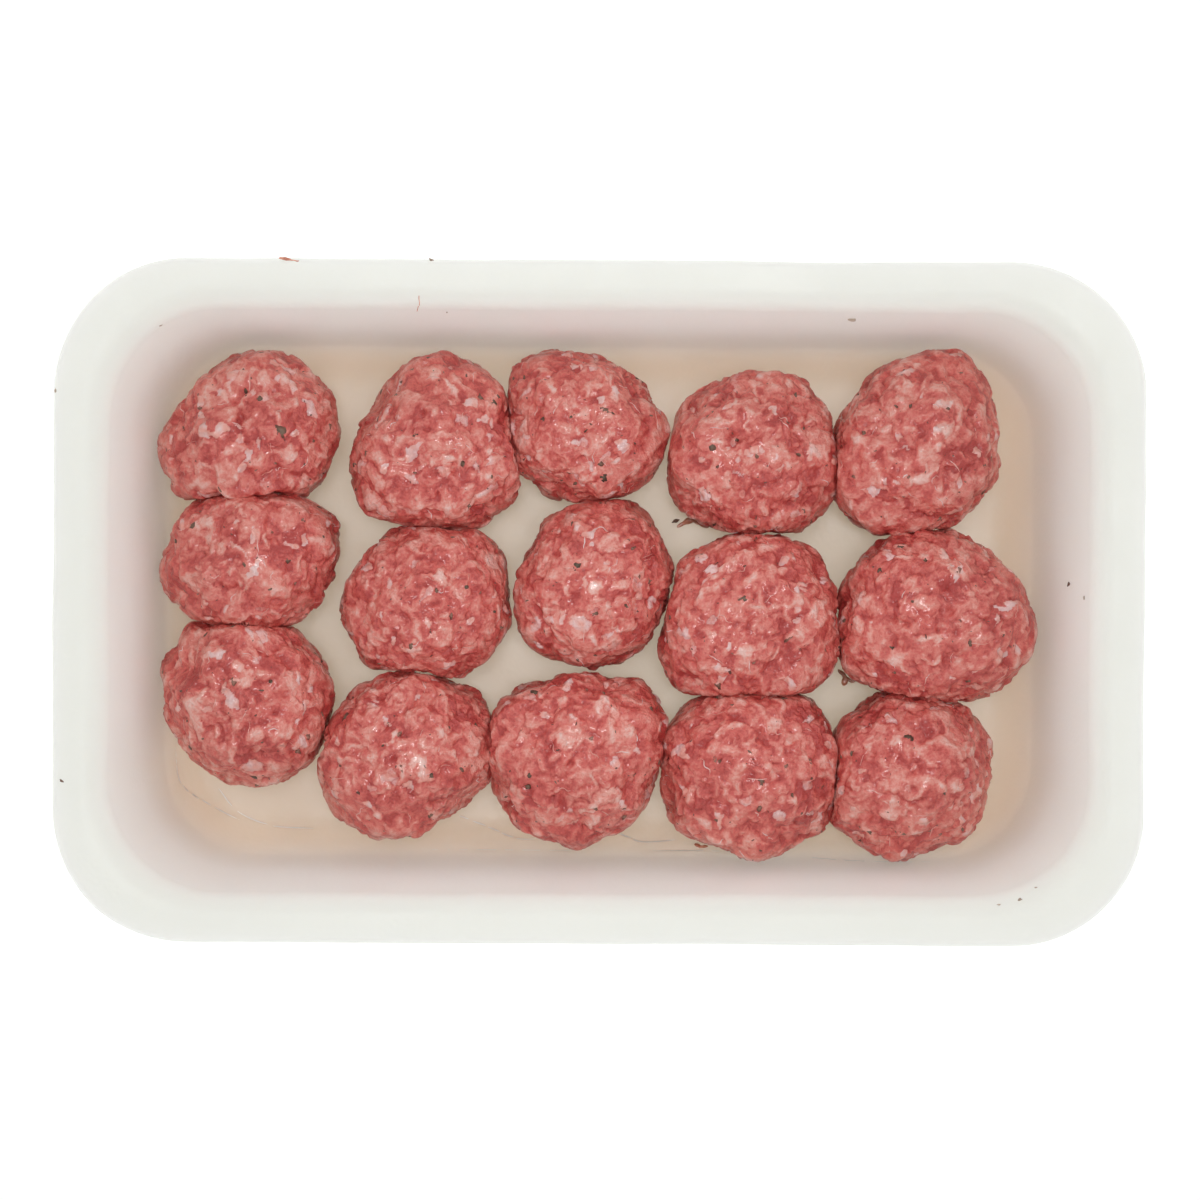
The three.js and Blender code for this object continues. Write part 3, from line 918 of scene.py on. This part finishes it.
# %% Threads on every ball
THREADS = 44
THREAD_STEPS = 9
THREAD_SIDES = 5
THREAD_HALF_LENGTH = (0.9 * MM, 2.4 * MM)
THREAD_RADIUS = (0.07 * MM, 0.17 * MM)
THREAD_BEND = 0.35 * MM
THREAD_WAVE = 0.16 * MM
THREAD_FLAT = 0.6
THREAD_JITTER = 0.25
THREAD_TAPER = (1.03, 0.6)
STANDING_SHARE = 0.25
THREAD_STAND = 0.5 * MM


def threads_on(mince, count, seed):
    """Tubes over one ball. A path runs along a heading, bends to the side by a parabola and a small wave, and
    is laid on the meat's own surface; one end in four stands off it."""
    rng = np.random.default_rng(seed)
    spots = even_directions(count, rng, THREAD_JITTER)
    along, across = headings(spots, rng)
    share = np.linspace(-1, 1, THREAD_STEPS)
    reach = rng.uniform(*THREAD_HALF_LENGTH, (count, 1)) * share
    bend = rng.normal(0, THREAD_BEND, (count, 1)) * share ** 2 \
        + rng.normal(0, THREAD_WAVE, (count, 1)) * np.sin(5 * share + rng.uniform(0, 6, (count, 1)))
    level = reach[:, :, None] * along[:, None] + bend[:, :, None] * across[:, None]
    toward = unit(spots[:, None] + level / mince.skin.size)
    stands = (rng.random((count, 1)) < STANDING_SHARE) * rng.uniform(0, THREAD_STAND, (count, 1))
    stand_off = stands * np.clip(share, 0, 1) ** 2
    paths = mince.surface(toward.reshape(-1, 3))[0].reshape(toward.shape) + toward * stand_off[:, :, None]
    radii = rng.uniform(*THREAD_RADIUS, (count, 1)) * taper(share ** 2, *THREAD_TAPER)
    return tubes(paths, toward, radii, THREAD_FLAT, THREAD_SIDES)


SINEW_COLOURS = [(0.35, (232, 150, 138)), (0.5, (243, 184, 174)), (0.65, (248, 222, 220))]
sinew = drifting("sinew", 4 * MM, 1.0, SINEW_COLOURS, Roughness=0.4, Coat_Weight=1.0, Coat_Roughness=0.12)
threads = np.concatenate([threads_on(mince, THREADS, 500 + mince.seed) for mince in minces])
thread_faces = tube_faces(len(threads), THREAD_STEPS, THREAD_SIDES)
make_piece("sinew_threads", threads.reshape(-1, 3), thread_faces, sinew)

# %% [markdown]
# ## Shreds and crumbs of meat
# Handling leaves a few shreds beside the balls and specks on the rim and the walls, at places read off the
# photograph. A shred is a flat tube with an uneven radius, and a crumb is a small lump. Both could be
# dropped onto the tray by a ray cast, but the tray's own grid of points already tells the height there.

# %% The tray's height at a place
top_points = grid[:upper_rings].reshape(-1, 3)
top_ahead = np.gradient(grid, axis=0)[:upper_rings].reshape(-1, 3)
top_round = (np.roll(grid, -1, axis=1) - np.roll(grid, 1, axis=1))[:upper_rings].reshape(-1, 3)
top_normals = unit(np.cross(top_ahead, top_round))
top_normals *= np.sign(top_normals[:, 2:])
LEAST_RISE = 0.15


def on_tray(places):
    """Points and normals on the tray's upper side for places seen from above, on the plane through the
    nearest grid point that is level with the surface there."""
    flat = places.reshape(-1, 2)
    nearest = ((flat[:, None] - top_points[None, :, :2]) ** 2).sum(axis=2).argmin(axis=1)
    base, normal = top_points[nearest], top_normals[nearest]
    drop = ((flat - base[:, :2]) * normal[:, :2]).sum(axis=1) / np.maximum(normal[:, 2], LEAST_RISE)
    height = np.clip(base[:, 2] - drop, FLOOR_THICKNESS, TRAY_HEIGHT)
    points = np.column_stack([flat, height])
    return points.reshape(*places.shape[:-1], 3), normal.reshape(*places.shape[:-1], 3)


def smooth_paths(knots, steps):
    """Curves through few points each: between two knots, the cubic whose slope at a knot is half the step
    between that knot's neighbours."""
    knots = np.asarray(knots, dtype=float)
    spans = knots.shape[1] - 1
    at = np.linspace(0, spans, steps)
    start = np.minimum(at.astype(int), spans - 1)
    t = (at - start)[None, :, None]
    slopes = np.gradient(knots, axis=1)
    p0, p1, m0, m1 = knots[:, start], knots[:, start + 1], slopes[:, start], slopes[:, start + 1]
    return ((2 * t ** 3 - 3 * t ** 2 + 1) * p0 + (t ** 3 - 2 * t ** 2 + t) * m0
            + (3 * t ** 2 - 2 * t ** 3) * p1 + (t ** 3 - t ** 2) * m1)


# %% Shreds
# Each shred as its start, middle and end seen from above, and its half width, in millimetres.
SHREDS = [
    ((17.5, 17.0), (20.5, 18.6), (23.4, 18.8), 0.6),
    ((21.2, 18.4), (23.6, 17.2), (25.4, 17.6), 0.45),
    ((22.6, 19.4), (24.2, 20.2), (25.2, 19.0), 0.35),
    ((54.0, -15.0), (55.6, -16.6), (55.4, -18.6), 0.6),
    ((55.4, -16.4), (57.2, -17.6), (58.2, -17.0), 0.4),
    ((21.8, -54.4), (23.2, -55.0), (24.8, -54.8), 0.6),
    ((-67.6, 71.8), (-66.1, 71.6), (-63.4, 71.2), 0.25),
    ((-38.2, 64.1), (-38.2, 62.4), (-38.9, 61.4), 0.13),
]
SHRED_STEPS = 16
SHRED_SIDES = 10
SHRED_FLAT = 0.55
SHRED_LEAST = 0.08 * MM
SHRED_RISE = 0.8
SHRED_TAPER = (1.04, 0.4)
SHRED_SWELL = 0.3
SHRED_SWELL_LENGTH = 2.4 * MM
SHRED_LUMPS = 0.07 * MM
SHRED_LUMP_LENGTH = 0.9 * MM

shred_plan = smooth_paths([knots for *knots, _ in SHREDS], SHRED_STEPS) * MM
shred_paths, shred_lifts = on_tray(shred_plan)
shred_share = np.linspace(-1, 1, SHRED_STEPS)
shred_half = np.array([half for *_, half in SHREDS])[:, None] * MM
shred_radii = shred_half * taper(shred_share ** 2, *SHRED_TAPER)
shred_swell = ripple(shred_paths.reshape(-1, 3), SHRED_SWELL_LENGTH, seed=61).reshape(shred_radii.shape)
shred_radii *= 1 + SHRED_SWELL * shred_swell
shred_radii = np.maximum(shred_radii, SHRED_LEAST)
shred_paths = shred_paths + shred_lifts * (shred_radii * SHRED_FLAT * SHRED_RISE)[:, :, None]
shred_points = tubes(shred_paths, shred_lifts, shred_radii, SHRED_FLAT, SHRED_SIDES).reshape(-1, 3)
shred_lumps = ripple(shred_points, SHRED_LUMP_LENGTH, seed=62) * SHRED_LUMPS
shred_points += shred_lumps[:, None] * np.array([0.5, 0.5, 1.0])
shred_faces = tube_faces(len(SHREDS), SHRED_STEPS, SHRED_SIDES)

shred = drifting("meat_shred", 1.5 * MM, 2.0, [(0.35, (198, 116, 86)), (0.65, (232, 162, 132))],
                 Roughness=0.45, Coat_Weight=0.7, Coat_Roughness=0.15)
make_piece("meat_shreds", shred_points, shred_faces, shred)

# %% Crumbs on the rim and the walls
# Each crumb as its place seen from above and its half length, in millimetres, its heading in degrees, and how
# dark it is, from 0 to 1.
CRUMBS = [
    (101.2, 4.4, 0.60, 11, 1.0), (103.0, 1.5, 0.40, 93, 0.4), (-112.5, -38.2, 0.45, 152, 0.9),
    (-35.6, 71.6, 0.50, 158, 0.6), (88.8, -62.1, 0.50, 23, 0.5), (92.3, -59.6, 0.32, 167, 0.4),
    (84.4, -63.2, 0.38, 174, 0.3), (53.7, 60.7, 0.80, 177, 0.2), (-114.3, 43.7, 0.45, 85, 0.2),
    (-32.6, 61.3, 0.33, 88, 0.3), (-92.9, 57.9, 0.33, 166, 0.3), (17.2, 18.4, 0.80, 17, 1.0),
]
CRUMB_STEPS = 5
CRUMB_NARROW = 0.5
CRUMB_LOW = 0.4
CRUMB_RISE = 0.3
CRUMB_LUMPS = 0.16
CRUMB_LUMP_LENGTH = 1.3

crumb_directions, crumb_quads = cube_ball(CRUMB_STEPS)
crumb_table = np.array(CRUMBS)
crumb_base, crumb_up = on_tray(crumb_table[:, :2] * MM)
crumb_size = crumb_table[:, 2] * MM
crumb_turn = np.radians(crumb_table[:, 3])
crumb_ahead = np.column_stack([np.cos(crumb_turn), np.sin(crumb_turn), np.zeros(len(CRUMBS))])
crumb_ahead = unit(crumb_ahead - crumb_up * (crumb_ahead * crumb_up).sum(axis=1, keepdims=True))
crumb_side = np.cross(crumb_up, crumb_ahead)
crumb_lump = 1 + CRUMB_LUMPS * np.stack([
    ripple(crumb_directions + 3 * k, CRUMB_LUMP_LENGTH, seed=71) for k in range(len(CRUMBS))])
crumb_shape = crumb_directions[None] * crumb_lump[:, :, None]
crumb_points = (crumb_base[:, None] + crumb_up[:, None] * (crumb_size * CRUMB_RISE)[:, None, None]
                + crumb_size[:, None, None] * (
                    crumb_shape[:, :, :1] * crumb_ahead[:, None]
                    + crumb_shape[:, :, 1:2] * CRUMB_NARROW * crumb_side[:, None]
                    + crumb_shape[:, :, 2:] * CRUMB_LOW * crumb_up[:, None]))
crumb_starts = (np.arange(len(CRUMBS)) * len(crumb_directions))[:, None, None]
crumb_faces = (crumb_quads[None] + crumb_starts).reshape(-1, 4)

crumb = Finish("crumb")
_, crumb_parts = crumb.attribute("grain")
crumb_colour = crumb.ramp(crumb_parts[0], [(0.1, (204, 186, 168)), (1.0, (104, 72, 54))])
crumb.surface(Base_Color=crumb_colour, Roughness=0.6)
crumbs = make_piece("meat_crumbs", crumb_points.reshape(-1, 3), crumb_faces.tolist(), crumb.material)
crumb_tone = np.zeros((len(CRUMBS), len(crumb_directions), 3))
crumb_tone[:, :, 0] = crumb_table[:, 4:]
give_attribute(crumbs, "grain", crumb_tone)

# %% [markdown]
# ## Folds in the film
# The thin film on the foam lies in faint folds on the floor and along the foot of the wall. They are flat
# ribs, well under a tenth of a millimetre high, so the light draws them as fine lines. A bump texture could
# fake them, but ribs follow the measured lines exactly.

# %% Film folds
# Each fold as points seen from above, in millimetres.
FOLDS_IN_FILM = [
    [(-95.0, -33.0), (-93.5, -41.5), (-86.5, -46.8), (-79.0, -50.5)],
    [(-85.8, -42.5), (-81.5, -47.6), (-74.0, -50.8), (-64.0, -51.5)],
    [(-66.5, -55.8), (-45.0, -55.9), (-20.0, -55.8), (4.0, -55.9)],
    [(6.0, -55.9), (28.0, -55.8), (57.0, -57.2), (77.5, -57.3)],
    [(-32.0, -48.2), (-24.5, -51.0), (-18.0, -53.4), (-11.0, -53.2)],
    [(3.5, -51.6), (7.0, -53.0), (10.8, -54.0), (20.0, -53.2)],
]
FILM_STEPS = 60
FILM_HALF_WIDTH = 0.2 * MM
FILM_FLAT = 0.22
FILM_SIDES = 8
FILM_TAPER = (1.01, 0.5)

film = Finish("film_fold")
film.surface(Base_Color=linear(250, 246, 240), Roughness=0.4, Coat_Weight=1.0, Coat_Roughness=0.15)
film_plan = smooth_paths(FOLDS_IN_FILM, FILM_STEPS) * MM
film_paths, film_lifts = on_tray(film_plan)
film_share = np.linspace(-1, 1, FILM_STEPS)
film_radii = np.broadcast_to(FILM_HALF_WIDTH * taper(film_share ** 4, *FILM_TAPER), film_paths.shape[:2])
film_points = tubes(film_paths, film_lifts, film_radii, FILM_FLAT, FILM_SIDES).reshape(-1, 3)
film_faces = tube_faces(len(FOLDS_IN_FILM), FILM_STEPS, FILM_SIDES)
make_piece("film_folds", film_points, film_faces, film.material)
